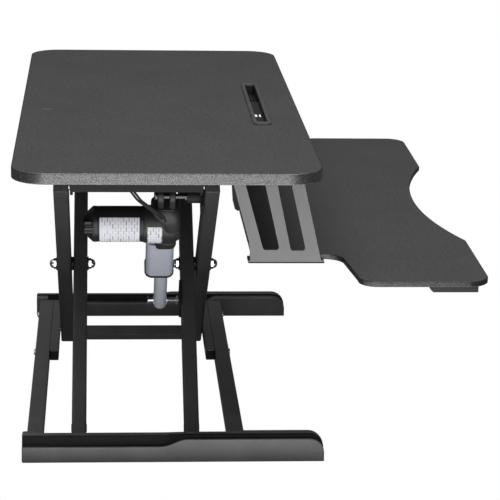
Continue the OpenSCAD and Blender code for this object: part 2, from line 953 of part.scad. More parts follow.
// Threaded spindle, turned by the gear in the gearbox
module lead_screw() {
    color(c_steel) framed() act_place() rotate([0, 90, 0]) {
        translate([0, 0, motor_reach - 10]) cylinder(h = 117, r = 5);
        translate([0, 0, motor_reach - 18]) cylinder(h = 8, r = 13);
    }
}

// Hollow push rod, solid where its pin goes through
module actuator_rod() {
    color(c_shroud) framed() act_place() difference() {
        translate([rod_start, 0, 0]) rotate([0, 90, 0])
            cylinder(h = act_len + rod_tip - rod_start, r = rod_d / 2);
        translate([rod_start - eps, 0, 0]) rotate([0, 90, 0])
            cylinder(h = act_len - 16 - rod_start, r = rod_d / 2 - 2);
        translate([act_len, 0, 0]) bar_y(act_pin_r, -12, 12);
    }
}

// Nut inside the rod's upper end, on the spindle's thread
module drive_nut() {
    color(c_brass) framed() act_place() translate([rod_start, 0, 0]) rotate([0, 90, 0])
        difference() {
            cylinder(h = 18, r = rod_d / 2 - 2.1);
            translate([0, 0, -eps]) cylinder(h = 20, r = 5.3);
        }
}

// Pin through the rod's eye; it ends just short of the plate on the leg
module rod_pin() {
    plate = frame_y - inner_face + leg_w + 3;
    color(c_steel) framed() translate([rod_pin_at[0], 0, rod_pin_at[1]]) {
        bar_y(act_pin_r, plate + 0.5, 17);
        bar_y(6, 16, 18.5);
        bar_y(6.5, plate + 1.5, plate + 4);
    }
}

foot_left();
foot_right();
base_rail_rear();
base_rail_front();
base_channel_rear();
base_channel_front();
channel_plugs();
foot_pads();
rail_bolts();
base_pivot_brackets();
base_pivot_pins();
inner_leg_rear();
inner_leg_front();
inner_crossbar();
mid_pivot_bolts();
mid_pivot_nuts();
pivot_washers();
rod_bracket();
top_roller_axles();
outer_leg_rear();
outer_leg_front();
lower_crossbar();
actuator_bracket();
actuator_rear_pin();
base_roller_axles();
base_roller_rear();
base_roller_front();
top_roller_rear();
top_roller_front();
worktop();
device_slot_frame();
hole_plug();
top_rails();
top_channel_rear();
top_channel_front();
top_crossmember_left();
top_crossmember_right();
top_pivot_bolts();
tray_bracket_left();
tray_bracket_right();
keyboard_tray();
tray_screws();
worktop_screws();
control_box();
power_inlet();
control_panel();
button_up();
button_down();
motor_housing();
motor_end_cap();
gearbox_housing();
rear_clevis();
actuator_shroud();
shroud_rim();
motor_cable();
motor_armature();
lead_screw();
actuator_rod();
drive_nut();
rod_pin();
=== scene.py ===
"""Looks of the electric desk riser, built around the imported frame."""

import json
import math

import bmesh
import bpy
from mathutils import Matrix, Vector


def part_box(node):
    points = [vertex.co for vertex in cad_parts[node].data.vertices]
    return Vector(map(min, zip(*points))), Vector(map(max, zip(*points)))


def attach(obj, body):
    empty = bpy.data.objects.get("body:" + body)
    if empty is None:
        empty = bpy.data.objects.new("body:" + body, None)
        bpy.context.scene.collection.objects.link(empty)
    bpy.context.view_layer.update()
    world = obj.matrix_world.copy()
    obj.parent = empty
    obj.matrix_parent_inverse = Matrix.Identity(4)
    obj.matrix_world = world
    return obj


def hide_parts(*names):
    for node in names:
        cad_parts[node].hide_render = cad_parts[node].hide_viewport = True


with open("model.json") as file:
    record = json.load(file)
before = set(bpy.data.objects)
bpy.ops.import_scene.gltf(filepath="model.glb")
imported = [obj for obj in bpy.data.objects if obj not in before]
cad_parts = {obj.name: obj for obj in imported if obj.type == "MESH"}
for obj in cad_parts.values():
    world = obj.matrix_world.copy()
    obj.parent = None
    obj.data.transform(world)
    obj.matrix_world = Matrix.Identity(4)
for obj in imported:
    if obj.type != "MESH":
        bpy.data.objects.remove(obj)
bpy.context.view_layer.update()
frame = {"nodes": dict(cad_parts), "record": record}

MM = 0.001
BOARD_LOW, BOARD_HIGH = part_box("worktop")
BOARD_Y = (BOARD_LOW.y + BOARD_HIGH.y) / 2
JOINTS = {joint["name"]: joint for joint in frame["record"]["behaviour"]["joints"]}


# ---------- places ----------
# Shapes are built in millimetres: X to the user's right, Y back from the
# worktop's middle, Z up from the floor.


def at(x, y, z):
    """The row's point, in metres, of a point in millimetres."""
    return Vector((x * MM, y * MM + BOARD_Y, z * MM))


def joint_mm(name):
    """A joint's position as (x, z) in millimetres."""
    x, _, z = JOINTS[name]["pos_m"]
    return x / MM, z / MM


LOW_X, LOW_Z = joint_mm("lift")
HIGH_X, HIGH_Z = joint_mm("top_pivot")
MID_X, MID_Z = joint_mm("cross_pivot")
ROLLER_X, _ = joint_mm("base_roller_rear_spin")
REAR_X, REAR_Z = joint_mm("actuator_pivot")
LEG_LEN = math.hypot(ROLLER_X - HIGH_X, HIGH_Z - LOW_Z)
LEG_COS = (ROLLER_X - HIGH_X) / LEG_LEN
LEG_SIN = (HIGH_Z - LOW_Z) / LEG_LEN
ACT_AXIS = JOINTS["rod_slide"]["axis"]
ACT_COS, ACT_SIN = ACT_AXIS[0], -ACT_AXIS[2]

FRAME_Y = 37.5
INNER_FACE = 88.0
OUTER_FACE = 111.5
LEG_W = 20.0
LEG_H = 38.0


def inner_leg(s, y, w):
    """A point s up the inner leg from its hinge, w across it."""
    return LOW_X + s * LEG_COS - w * LEG_SIN, y, LOW_Z + s * LEG_SIN + w * LEG_COS


def outer_leg(s, y, w):
    """A point s down the outer leg from its hinge, w across it."""
    return HIGH_X + s * LEG_COS + w * LEG_SIN, y, HIGH_Z - s * LEG_SIN + w * LEG_COS


def actuator(x, y, z):
    """A point x along the actuator from its rear pin, z across it."""
    return REAR_X + x * ACT_COS + z * ACT_SIN, y, REAR_Z - x * ACT_SIN + z * ACT_COS


def plain(x, y, z):
    return x, y, z


# ---------- outlines ----------


def arc(cx, cy, r, a, b, n):
    """Points on an arc from angle a to angle b in degrees."""
    out = []
    for i in range(n + 1):
        t = math.radians(a + (b - a) * i / n)
        out.append((cx + r * math.cos(t), cy + r * math.sin(t)))
    return out


def rounded(w, h, r, n=6, cx=0.0, cy=0.0):
    """A rectangle with round corners, counterclockwise."""
    a, b = w / 2 - r, h / 2 - r
    return (
        arc(cx + a, cy + b, r, 0, 90, n)
        + arc(cx - a, cy + b, r, 90, 180, n)
        + arc(cx - a, cy - b, r, 180, 270, n)
        + arc(cx + a, cy - b, r, 270, 360, n)
    )


def circle(r, n, cx, cy):
    return arc(cx, cy, r, 0, 360 - 360 / n, n - 1)


def offset(points, d):
    """A closed counterclockwise loop moved d to its inside."""
    out = []
    n = len(points)
    for i, p in enumerate(points):
        before = Vector(p) - Vector(points[i - 1])
        after = Vector(points[(i + 1) % n]) - Vector(p)
        if before.length < 1e-6:
            before = after
        if after.length < 1e-6:
            after = before
        n1 = Vector((-before.y, before.x)).normalized()
        n2 = Vector((-after.y, after.x)).normalized()
        m = n1 + n2
        if m.length < 1e-6:
            m = n1
        m.normalize()
        k = d / max(0.5, m.dot(n1))
        out.append((p[0] + m.x * k, p[1] + m.y * k))
    return out


def smooth(a, b, v):
    """0 before a, 1 after b, and an even S between them."""
    t = min(1.0, max(0.0, (v - a) / (b - a)))
    return t * t * (3 - 2 * t)


def mix(a, b, t):
    return a + (b - a) * t


# ---------- solids ----------


class Solid:
    """Vertices in millimetres and faces, gathered for one object."""

    def __init__(self, place=plain):
        self.place = place
        self.verts = []
        self.faces = []
        self.slots = []
        self.fills = []

    def ring(self, points):
        first = len(self.verts)
        self.verts += [self.place(*p) for p in points]
        return list(range(first, len(self.verts)))

    def face(self, indices, slot=0):
        self.faces.append(tuple(indices))
        self.slots.append(slot)

    def bridge(self, a, b, slot=0):
        """Faces between two rings; a list of slots gives one to each side."""
        n = len(a)
        for k in range(n):
            own = slot[k] if isinstance(slot, list) else slot
            self.face((a[k], a[(k + 1) % n], b[(k + 1) % n], b[k]), own)

    def loft(self, rings, slot=0):
        """Closed rings of points joined in order, with flat ends."""
        made = [self.ring(r) for r in rings]
        for a, b in zip(made, made[1:]):
            self.bridge(a, b, slot)
        cap = 0 if isinstance(slot, list) else slot
        self.face(reversed(made[0]), cap)
        self.face(made[-1], cap)

    def slab(self, outer, z0, z1, r, holes=(), lift=None, slots=(0, 0), steps=3, base_r=None):
        """A flat outline from z0 to z1 with round edges; lift maps (u, v, z)."""
        lift = lift or (lambda u, v, z: (u, v, z))
        base_r = r if base_r is None else base_r
        profile = []
        for i in range(steps, -1, -1):
            t = math.radians(90 * i / steps)
            profile.append((base_r * (1 - math.cos(t)), z0 + base_r - base_r * math.sin(t)))
        for i in range(steps + 1):
            t = math.radians(90 * i / steps)
            profile.append((r * (1 - math.cos(t)), z1 - r + r * math.sin(t)))
        lows, highs = [], []
        for loop, side in [(outer, 1)] + [(h, -1) for h in holes]:
            rings = []
            for inset, z in profile:
                moved = offset(loop, side * inset) if inset else loop
                rings.append(self.ring([lift(u, v, z) for u, v in moved]))
            for a, b in zip(rings, rings[1:]):
                self.bridge(a, b, slots[1])
            lows.append(rings[0])
            highs.append(rings[-1])
        self.fills.append((lows, slots[0]))
        self.fills.append((highs, slots[0]))

    def lathe(self, profile, centre, axis="y", n=48, slot=0, turn=0.0):
        """A closed profile of (radius, distance) turned about an axis."""
        rings = []
        for r, d in profile:
            ring = []
            for k in range(n):
                t = 2 * math.pi * k / n + turn
                u, v = r * math.cos(t), r * math.sin(t)
                if axis == "y":
                    ring.append((centre[0] + u, centre[1] + d, centre[2] + v))
                elif axis == "z":
                    ring.append((centre[0] + u, centre[1] + v, centre[2] + d))
                else:
                    ring.append((centre[0] + d, centre[1] + u, centre[2] + v))
            rings.append(ring)
        self.loft(rings, slot)

    def sweep(self, points, r, sides=12):
        """A round tube along points, with flat ends."""
        pts = [Vector(self.place(*p)) for p in points]
        keep, self.place = self.place, plain
        rings = []
        normal = None
        for i, p in enumerate(pts):
            along = (pts[min(i + 1, len(pts) - 1)] - pts[max(i - 1, 0)]).normalized()
            if normal is None:
                normal = along.cross(Vector((0, 0, 1)))
                if normal.length < 1e-3:
                    normal = along.cross(Vector((1, 0, 0)))
            normal = (normal - along * normal.dot(along)).normalized()
            side = along.cross(normal)
            ring = []
            for k in range(sides):
                t = 2 * math.pi * k / sides
                ring.append(tuple(p + (normal * math.cos(t) + side * math.sin(t)) * r))
            rings.append(ring)
        self.loft(rings)
        self.place = keep


def finish_mesh(mesh, sharp_deg):
    """Outward normals, smooth faces, and sharp edges where the angle is wide."""
    work = bmesh.new()
    work.from_mesh(mesh)
    bmesh.ops.recalc_face_normals(work, faces=work.faces)
    limit = math.radians(sharp_deg)
    for f in work.faces:
        f.smooth = True
    for e in work.edges:
        wide = len(e.link_faces) != 2 or e.calc_face_angle(0.0) > limit
        e.smooth = not wide
    work.to_mesh(mesh)
    work.free()


def add_object(name, mesh, materials, body, replaces=()):
    obj = bpy.data.objects.new(name, mesh)
    bpy.context.scene.collection.objects.link(obj)
    for m in materials:
        mesh.materials.append(m)
    even = obj.modifiers.new("even_normals", "WEIGHTED_NORMAL")
    even.keep_sharp = True
    even.weight = 80
    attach(obj, body)
    if replaces:
        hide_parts(*replaces)
    return obj


SHARP_DEG = 38
BEVEL_DEG = 34
FLAT_DEG = 0.6


def make(name, solid, materials, body, replaces=(), sharp=SHARP_DEG):
    """Turns a Solid into a piece that rides on a body."""
    mesh = bpy.data.meshes.new(name)
    work = bmesh.new()
    verts = [work.verts.new(at(*v)) for v in solid.verts]
    for indices, mat in zip(solid.faces, solid.slots):
        corner = []
        for i in indices:
            if verts[i] not in corner:
                corner.append(verts[i])
        if len(corner) > 2:
            try:
                work.faces.new(corner).material_index = mat
            except ValueError:
                pass
    for loops, mat in solid.fills:
        edges = []
        for loop in loops:
            n = len(loop)
            for k in range(n):
                pair = (verts[loop[k]], verts[loop[(k + 1) % n]])
                edges.append(work.edges.get(pair) or work.edges.new(pair))
        filled = bmesh.ops.triangle_fill(work, use_beauty=True, use_dissolve=False, edges=edges)
        for g in filled["geom"]:
            if isinstance(g, bmesh.types.BMFace):
                g.material_index = mat
    bmesh.ops.remove_doubles(work, verts=work.verts, dist=2e-6)
    work.to_mesh(mesh)
    work.free()
    finish_mesh(mesh, sharp)
    return add_object(name, mesh, materials, body, replaces)


def refine(node, materials, width=0.8, steps=2, pick=None):
    """A copy of a CAD node with merged faces and rounded edges."""
    source = frame["nodes"][node]
    work = bmesh.new()
    work.from_mesh(source.data)
    bmesh.ops.remove_doubles(work, verts=work.verts, dist=5e-6)
    bmesh.ops.dissolve_limit(
        work, angle_limit=math.radians(FLAT_DEG), verts=work.verts, edges=work.edges
    )
    limit = math.radians(BEVEL_DEG)
    edges = [e for e in work.edges if len(e.link_faces) == 2 and e.calc_face_angle(0.0) > limit]
    bmesh.ops.bevel(
        work,
        geom=edges,
        offset=width * MM,
        offset_type="OFFSET",
        segments=steps,
        profile=0.5,
        affect="EDGES",
        clamp_overlap=True,
    )
    if pick:
        for f in work.faces:
            f.material_index = pick(f)
    mesh = bpy.data.meshes.new(node + "_skin")
    work.to_mesh(mesh)
    work.free()
    finish_mesh(mesh, SHARP_DEG)
    body = next(b for b, nodes in frame["record"]["behaviour"]["bodies"].items() if node in nodes)
    return add_object(node + "_skin", mesh, materials, body, (node,))


# ---------- materials ----------


class Graph:
    """A material's node tree, with object coordinates in metres."""

    def __init__(self, name):
        self.mat = bpy.data.materials.new(name)
        self.mat.use_nodes = True
        self.tree = self.mat.node_tree
        self.shader = self.tree.nodes["Principled BSDF"]
        self.coords = self.add("ShaderNodeTexCoord").outputs["Object"]

    def add(self, kind, **values):
        node = self.tree.nodes.new(kind)
        for key, value in values.items():
            setattr(node, key, value)
        return node

    def link(self, out, socket):
        self.tree.links.new(out, socket)

    def stretch(self, x, y, z):
        """Object coordinates scaled by x, y and z."""
        node = self.add("ShaderNodeMapping")
        self.link(self.coords, node.inputs["Vector"])
        node.inputs["Scale"].default_value = (x, y, z)
        return node.outputs["Vector"]

    def noise(self, size_mm, detail=3.0, rough=0.55, coords=None, distortion=0.0):
        node = self.add("ShaderNodeTexNoise")
        self.link(coords or self.coords, node.inputs["Vector"])
        node.inputs["Scale"].default_value = 1000.0 / size_mm
        node.inputs["Detail"].default_value = detail
        node.inputs["Roughness"].default_value = rough
        node.inputs["Distortion"].default_value = distortion
        return node.outputs["Fac"]

    def cells(self, size_mm):
        node = self.add("ShaderNodeTexVoronoi")
        self.link(self.coords, node.inputs["Vector"])
        node.inputs["Scale"].default_value = 1000.0 / size_mm
        return node.outputs["Distance"]

    def ramp(self, fac, stops):
        """Colours along a value; stops are (place, grey or colour)."""
        node = self.add("ShaderNodeValToRGB")
        self.link(fac, node.inputs["Fac"])
        marks = node.color_ramp.elements
        while len(marks) < len(stops):
            marks.new(0.5)
        for mark, (place, colour) in zip(marks, stops):
            mark.position = place
            if isinstance(colour, (int, float)):
                colour = (colour, colour, colour)
            mark.color = (*colour, 1.0)
        return node.outputs["Color"]

    def blend(self, a, b, fac, mode="MIX"):
        node = self.add("ShaderNodeMix", data_type="RGBA", blend_type=mode)
        for value, socket in ((a, node.inputs[6]), (b, node.inputs[7])):
            if hasattr(value, "is_linked"):
                self.link(value, socket)
            else:
                socket.default_value = (*value, 1.0)
        if hasattr(fac, "is_linked"):
            self.link(fac, node.inputs[0])
        else:
            node.inputs[0].default_value = fac
        return node.outputs[2]

    def range(self, fac, low, high):
        node = self.add("ShaderNodeMapRange")
        self.link(fac, node.inputs["Value"])
        node.inputs["From Min"].default_value = 0.3
        node.inputs["From Max"].default_value = 0.7
        node.inputs["To Min"].default_value = low
        node.inputs["To Max"].default_value = high
        return node.outputs["Result"]

    def bump(self, height, distance_mm, strength=1.0, normal=None):
        node = self.add("ShaderNodeBump")
        self.link(height, node.inputs["Height"])
        node.inputs["Strength"].default_value = strength
        node.inputs["Distance"].default_value = distance_mm * MM
        if normal:
            self.link(normal, node.inputs["Normal"])
        return node.outputs["Normal"]

    def done(self, colour, rough, normal=None, metallic=0.0, coat=0.0, specular=0.5):
        self.link(colour, self.shader.inputs["Base Color"])
        if hasattr(rough, "is_linked"):
            self.link(rough, self.shader.inputs["Roughness"])
        else:
            self.shader.inputs["Roughness"].default_value = rough
        if normal:
            self.link(normal, self.shader.inputs["Normal"])
        self.shader.inputs["Metallic"].default_value = metallic
        self.shader.inputs["Coat Weight"].default_value = coat
        self.shader.inputs["Coat Roughness"].default_value = 0.2
        self.shader.inputs["Specular IOR Level"].default_value = specular
        return self.mat


def tint(colour, k):
    return tuple(c * k for c in colour)


def paint(name, colour, rough, grain_mm, depth_mm, spread=0.12, coat=0.0, specular=0.5):
    """Powder coat: fine orange peel, cloudy tone and uneven gloss."""
    g = Graph(name)
    cloud = g.noise(46, 4.0, 0.6)
    fine = g.noise(grain_mm, 2.0, 0.5)
    fleck = g.noise(grain_mm * 0.45, 1.0, 0.5)
    base = g.ramp(cloud, [(0.3, tint(colour, 1 - spread)), (0.7, tint(colour, 1 + spread))])
    base = g.blend(base, g.ramp(fleck, [(0.35, 0.35), (0.65, 0.65)]), 0.16, "OVERLAY")
    gloss = g.range(fine, rough - 0.05, rough + 0.07)
    normal = g.bump(fine, depth_mm, 0.8)
    return g.done(base, gloss, normal, coat=coat, specular=specular)


def laminate(name, colour, rough):
    """Melamine face: short grain, tiny pits and a pressed texture."""
    g = Graph(name)
    grain = g.noise(5.0, 5.0, 0.7)
    pits = g.cells(0.9)
    cloud = g.noise(90, 3.0, 0.5)
    base = g.ramp(grain, [(0.32, tint(colour, 0.76)), (0.68, tint(colour, 1.28))])
    base = g.blend(base, g.ramp(cloud, [(0.3, 0.44), (0.7, 0.56)]), 0.5, "OVERLAY")
    normal = g.bump(grain, 0.05, 0.7)
    normal = g.bump(pits, 0.04, 0.5, normal)
    return g.done(base, g.range(grain, rough - 0.06, rough + 0.06), normal, specular=0.4)


def edge_band(name, colour, rough):
    """Speckled band glued on the boards' edges."""
    g = Graph(name)
    speck = g.noise(1.15, 2.0, 0.7)
    patch = g.noise(6.5, 2.0, 0.5)
    base = g.ramp(speck, [(0.38, tint(colour, 0.5)), (0.62, tint(colour, 1.7))])
    base = g.blend(base, g.ramp(patch, [(0.3, 0.40), (0.7, 0.60)]), 0.25, "OVERLAY")
    normal = g.bump(speck, 0.12, 0.8)
    return g.done(base, g.range(speck, rough - 0.05, rough + 0.1), normal, metallic=0.8, specular=0.5)


def moulded(name, colour, rough):
    """Moulded plastic: fine spark texture and faint flow marks."""
    g = Graph(name)
    spark = g.noise(0.55, 2.0, 0.6)
    flow = g.noise(22, 3.0, 0.5, distortion=0.8)
    base = g.ramp(flow, [(0.3, tint(colour, 0.86)), (0.7, tint(colour, 1.18))])
    normal = g.bump(spark, 0.03, 0.7)
    return g.done(base, g.range(spark, rough - 0.05, rough + 0.07), normal)


BRUSHED = (1.0, 0.12, 1.0)


def steel(name, colour, rough):
    """Zinc-plated or brushed steel with fine lines and cloudy tone."""
    g = Graph(name)
    lines = g.noise(0.7, 3.0, 0.6, g.stretch(*BRUSHED))
    cloud = g.noise(7, 3.0, 0.6)
    base = g.ramp(cloud, [(0.3, tint(colour, 0.84)), (0.7, tint(colour, 1.08))])
    normal = g.bump(lines, 0.012, 0.6)
    return g.done(base, g.range(lines, rough - 0.06, rough + 0.1), normal, metallic=1.0)


def rubber(name, colour):
    g = Graph(name)
    grain = g.noise(0.8, 3.0, 0.6)
    base = g.ramp(grain, [(0.3, tint(colour, 0.8)), (0.7, tint(colour, 1.25))])
    return g.done(base, g.range(grain, 0.62, 0.8), g.bump(grain, 0.03, 0.7))


def paper(name, rows, wide, long):
    """A plain label: off-white film with rows of grey bars, no lettering."""
    g = Graph(name)
    bricks = g.add("ShaderNodeTexBrick")
    turned = g.add("ShaderNodeMapping")
    g.link(g.coords, turned.inputs["Vector"])
    turned.inputs["Rotation"].default_value = (0.0, math.radians(90), 0.0)
    g.link(turned.outputs["Vector"], bricks.inputs["Vector"])
    bricks.inputs["Scale"].default_value = 1000.0 / wide
    bricks.inputs["Mortar Size"].default_value = 0.042
    bricks.inputs["Mortar Smooth"].default_value = 0.0
    bricks.inputs["Brick Width"].default_value = long
    bricks.inputs["Row Height"].default_value = 1.0 / rows
    bricks.inputs["Color1"].default_value = (0.74, 0.76, 0.80, 1.0)
    bricks.inputs["Color2"].default_value = (0.22, 0.25, 0.32, 1.0)
    bricks.inputs["Mortar"].default_value = (0.78, 0.79, 0.82, 1.0)
    tone = g.noise(9, 2.0, 0.5)
    base = g.blend(bricks.outputs["Color"], g.ramp(tone, [(0.3, 0.46), (0.7, 0.54)]), 0.4, "OVERLAY")
    return g.done(base, 0.45, g.bump(g.noise(1.2), 0.01, 0.4))


TOP = laminate("laminate_dark_gray", (0.070, 0.070, 0.0715), 0.55)
EDGE = edge_band("edge_band_speckled", (0.135, 0.135, 0.137), 0.30)
TRAY_EDGE = edge_band("tray_edge_speckled", (0.072, 0.072, 0.074), 0.34)
PAINT = paint("powder_coat_black", (0.016, 0.016, 0.017), 0.5, 1.3, 0.035, specular=0.2)
RAIL_PAINT = paint("powder_coat_rails", (0.105, 0.105, 0.107), 0.42, 1.3, 0.035)
LEG_PAINT = paint("powder_coat_legs", (0.040, 0.040, 0.041), 0.40, 1.2, 0.03)
# A lighter copy of the leg paint for the inner legs: painted light standing in for the floor's bounce on
# them.
INNER_LEG_LIT = paint("inner_legs_painted_light", (0.052, 0.052, 0.053), 0.40, 1.2, 0.03)
# Light grey paint on the outer legs' sloped upper ends: painted light that lifts these end faces out of
# the shade under the board.
LEG_END_LIGHT = paint("leg_ends_painted_light", (0.17, 0.17, 0.172), 0.45, 1.2, 0.03)
FOOT_PAINT = paint("powder_coat_feet", (0.115, 0.115, 0.117), 0.34, 1.6, 0.04, 0.16)
# Near-black paint on the feet's trough and groove faces: painted shade in these recesses, not the
# casting's own colour.
FOOT_TROUGH_SHADE = paint("foot_trough_painted_shade", (0.008, 0.008, 0.008), 0.5, 1.6, 0.04, 0.16, specular=0.15)
BRACKET = paint("powder_coat_light_gray", (0.20, 0.20, 0.202), 0.46, 1.1, 0.03, 0.06)
MOTOR = paint("satin_black_motor", (0.014, 0.014, 0.015), 0.36, 0.9, 0.015, 0.2)
CAST = paint("cast_housing_black", (0.020, 0.020, 0.021), 0.44, 1.8, 0.05, 0.2)
SHROUD = paint("satin_blue_gray", (0.42, 0.44, 0.51), 0.36, 1.0, 0.02, 0.06)
ROD_PAINT = paint("satin_rod_gray", (0.50, 0.52, 0.59), 0.32, 0.8, 0.02, 0.08)
BLACK = moulded("moulded_black", (0.013, 0.013, 0.014), 0.46)
SLOT = moulded("moulded_charcoal", (0.085, 0.085, 0.087), 0.42)
ZINC = steel("bright_zinc", (0.72, 0.73, 0.76), 0.26)
CHROME = steel("chromed_nut", (0.82, 0.83, 0.85), 0.12)
BLACKED = steel("blackened_steel", (0.10, 0.10, 0.105), 0.30)
GLOSS = paint("glossy_plug", (0.006, 0.007, 0.009), 0.16, 2.0, 0.01, 0.1, 0.6)
BRASS = steel("turned_brass", (0.62, 0.45, 0.20), 0.30)
RUBBER = rubber("matt_rubber", (0.016, 0.016, 0.016))
SHEATH = rubber("cable_sheath", (0.013, 0.013, 0.014))
BUTTON = moulded("moulded_light_gray", (0.60, 0.60, 0.62), 0.4)
LABEL = paper("plain_label", 7, 26.0, 0.34)


# ---------- worktop ----------

board = Solid()
BOARD_TOP = BOARD_HIGH.z / MM
BOARD_UNDER = BOARD_LOW.z / MM
SLOT_Y = -140.8
PLUG = (-47.0, 163.0)
board.slab(
    rounded(900, 400, 45, 16),
    BOARD_UNDER,
    BOARD_TOP,
    1.6,
    holes=[rounded(284, 20.5, 6, 5, 0, SLOT_Y), circle(6.6, 32, *PLUG)],
    slots=(0, 1),
    steps=4,
)
make("worktop_board", board, [TOP, EDGE], "top", ["worktop"], 60)

lip = Solid()
lip.slab(
    rounded(300, 25.5, 7, 6, 0, SLOT_Y),
    BOARD_TOP - 0.4,
    BOARD_TOP + 3,
    1.1,
    holes=[rounded(278, 14.5, 4, 5, 0, SLOT_Y)],
    base_r=0.2,
)
floor_z = BOARD_UNDER + 2
deep_x = 45.0
lip.slab(
    rounded(283.6, 20.1, 5.8, 6, 0, SLOT_Y),
    BOARD_UNDER + 0.2,
    BOARD_TOP - 0.2,
    0.3,
    holes=[rounded(278, 14.5, 4, 5, 0, SLOT_Y)],
    slots=(1, 1),
)


def bar(solid, x, y, z, r=0.6, slot=0):
    """A block with rounded edges between its corner ranges."""
    cx, cy = (x[0] + x[1]) / 2, (y[0] + y[1]) / 2
    corner = min(r * 1.3, (x[1] - x[0]) / 2.2, (y[1] - y[0]) / 2.2)
    solid.slab(
        rounded(x[1] - x[0], y[1] - y[0], corner, 3, cx, cy), z[0], z[1], r, slots=(slot, slot)
    )


floor_y = (SLOT_Y - 7.2, SLOT_Y + 7.2)
shallow = (BOARD_TOP - 8, BOARD_TOP - 6)
bar(lip, (-138.8, -64), floor_y, shallow, 0.3, 1)
bar(lip, (-40, deep_x + 1), floor_y, shallow, 0.3, 1)
for low, high in ((-7.2, -6.6), (-1.6, 0.6), (5.6, 7.2)):
    bar(lip, (-64.2, -39.8), (SLOT_Y + low, SLOT_Y + high), shallow, 0.2, 1)
bar(lip, (deep_x - 0.5, deep_x + 1.5), floor_y, (BOARD_UNDER + 0.4, BOARD_TOP - 6), 0.3, 1)
bar(lip, (deep_x, 138.8), floor_y, (BOARD_UNDER + 0.3, BOARD_UNDER + 2.2), 0.3, 1)
for rib_y in (-3.0, 2.0):
    bar(lip, (58, 84), (SLOT_Y + rib_y, SLOT_Y + rib_y + 1), (floor_z, BOARD_TOP - 6), 0.2, 1)
make("slot_surround", lip, [SLOT, BLACK], "top", ["device_slot_frame"], 50)

plug = Solid()
plug.lathe(
    [(0.4, -11.5), (5.9, -11.5), (6.3, -11), (6.3, -1.2)]
    + [(7.9, -1.0), (8.0, 0.1), (7.4, 0.5), (0.4, 0.2)],
    (PLUG[0], PLUG[1], BOARD_TOP),
    "z",
    36,
)
make("hole_cap", plug, [SLOT], "top", ["hole_plug"])


# ---------- keyboard tray ----------

TRAY_LOW, TRAY_HIGH = (v.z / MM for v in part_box("keyboard_tray"))
TRAY_FRONT = -422.0
TRAY_HALF = 436.5
BELLY_X, BELLY_Y = 228.0, 41.0
belly_r = (BELLY_X**2 + BELLY_Y**2) / (2 * BELLY_Y)
belly_c = TRAY_FRONT + BELLY_Y - belly_r


def tray_outline():
    """The tray's edge: neck, two wings and the hollow front, counterclockwise."""
    right = [(301.0, -118.0), (301.0, -212.0)]
    right += arc(327, -215, 26, 180, 255, 10)
    right += arc(TRAY_HALF - 24, -274, 24, 97, 0, 10)
    right += arc(TRAY_HALF - 30, TRAY_FRONT + 30, 30, 0, -90, 12)
    for i in range(33):
        x = BELLY_X * (1 - i / 32)
        right.append((x, belly_c + math.sqrt(belly_r**2 - x * x)))
    left = [(-x, y) for x, y in reversed(right[:-1])]
    return list(reversed(right + left))


tray = Solid()
tray.slab(tray_outline(), TRAY_LOW, TRAY_HIGH, 1.1, slots=(0, 1), steps=3)
make("tray_board", tray, [TOP, TRAY_EDGE], "top", ["keyboard_tray"], 60)


# ---------- feet ----------

FOOT_L = 410.4
FOOT_BACK = 192.0
FOOT_OUT = 357.0
MID = 19
MID_UP = 13.0
PAD_H = 1.5


def foot_section(y):
    """The foot's outline as (x from its outer face, z) at y from its back."""
    s = smooth(188, 224, y)
    inner = max(smooth(270, 298, y), 1 - smooth(18, 21, y))
    rear = [(0, 21.2), (0.7, 22.8), (2.6, 23.5), (4.6, 22.8), (7.2, 20.4), (10.0, 20.2)]
    rear += [(13.0, 22.4), (15.6, 31.0), (17.4, 35.0), (19.4, 36.0), (25.2, 35.6)]
    front = [(0, 31.4), (0.8, 33.3), (2.6, 34.0), (6.2, 33.8), (7.6, 30.0), (11.2, 30.0)]
    front += [(12.2, 34.6), (13.4, 36.4), (15.4, 37.0), (23.6, 37.0), (25.6, 36.2)]
    top = [(mix(a[0], b[0], s), mix(a[1], b[1], s)) for a, b in zip(rear, front)]
    low, high = mix(24.0, 33.6, inner), mix(24.6, 34.2, inner)
    top += [(26.9, low + 0.2), (30.5, high), (36.0, high), (37.5, high - 1.0), (38.0, high - 3.2)]
    nose = 20.0
    past = max(0.0, y - (FOOT_L - nose))
    drop = nose - math.sqrt(max(0.0, nose * nose - past * past))
    top = [(x, max(z - drop, 5.0)) for x, z in top]
    under = [(38.0, 2.6), (37.0, PAD_H), (1.0, PAD_H), (0.0, 2.6)]
    return top + under


def foot(side):
    shape = Solid(lambda x, y, z: (side * (FOOT_OUT - x), FOOT_BACK - y, z))
    stations = [0, 0.6, 1.8, 9, 17.5, 18.4, 19.6, 21, 60, 110, 160, 186]
    stations += [192 + 3 * i for i in range(12)] + [250, 269] + [270 + 4 * i for i in range(8)]
    stations += [320, 350, 375, 388] + [390.4 + 20 * math.sin(math.radians(a)) for a in range(9, 91, 9)]
    rings = []
    for y in stations:
        section = foot_section(min(y, FOOT_L - 0.05))
        inset = max(0.0, 1.6 - y) * 0.7
        if inset:
            section = [
                (
                    x + (inset if x < MID else -inset) * min(1, abs(x - MID) / 14),
                    z - (inset if z > MID_UP else -inset),
                )
                for x, z in section
            ]
        rings.append([(x, y, z) for x, z in section])
    # The trough, the groove and the ridge's inner side take the second material, the near-black painted
    # shade.
    shape.loft(rings, [1 if 2 <= k <= 7 or k == 10 else 0 for k in range(len(rings[0]))])
    name = "foot_left" if side < 0 else "foot_right"
    make(name + "_casting", shape, [FOOT_PAINT, FOOT_TROUGH_SHADE], "base", [name], 33)


foot(-1)
foot(1)

